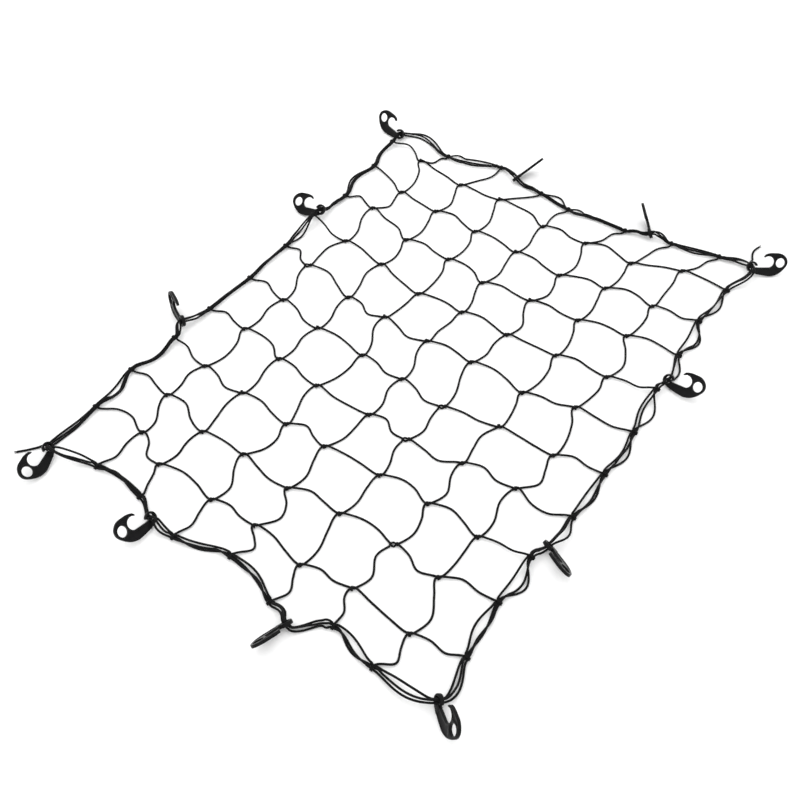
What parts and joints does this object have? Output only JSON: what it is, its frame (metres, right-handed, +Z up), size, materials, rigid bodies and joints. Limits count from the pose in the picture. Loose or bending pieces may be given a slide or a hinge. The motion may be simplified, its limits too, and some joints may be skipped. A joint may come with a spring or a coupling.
{
  "type": "cargo net",
  "caption": "Elastic square-mesh cargo net with a doubled border cord and moulded plastic hooks round the edge, lying spread out.",
  "frame": {"origin": "middle of the net's footprint, on the ground", "axes": "+Y along the net's length, +X across it, +Z up"},
  "size_m": [0.9352, 1.2582, 0.0482],
  "materials": {
    "mesh_cord": "black braided elastic cord",
    "border_cord": "black braided elastic cord",
    "hook_plastic": "black moulded plastic with a slight sheen"
  },
  "bodies": {
    "root": {"mesh_net": "mesh_cord", "border_cord_outer": "border_cord", "border_cord_inner": "border_cord", "hook_corner_nw": "hook_plastic", "hook_north_1": "hook_plastic", "hook_north_2": "hook_plastic", "hook_corner_ne": "hook_plastic", "hook_east_1": "hook_plastic", "hook_east_2": "hook_plastic", "hook_corner_se": "hook_plastic", "hook_south_2": "hook_plastic", "hook_south_1": "hook_plastic", "hook_corner_sw": "hook_plastic", "hook_west_2": "hook_plastic", "hook_west_1": "hook_plastic", "tail_west": "border_cord", "tail_east": "border_cord"}
  },
  "joints": []
}
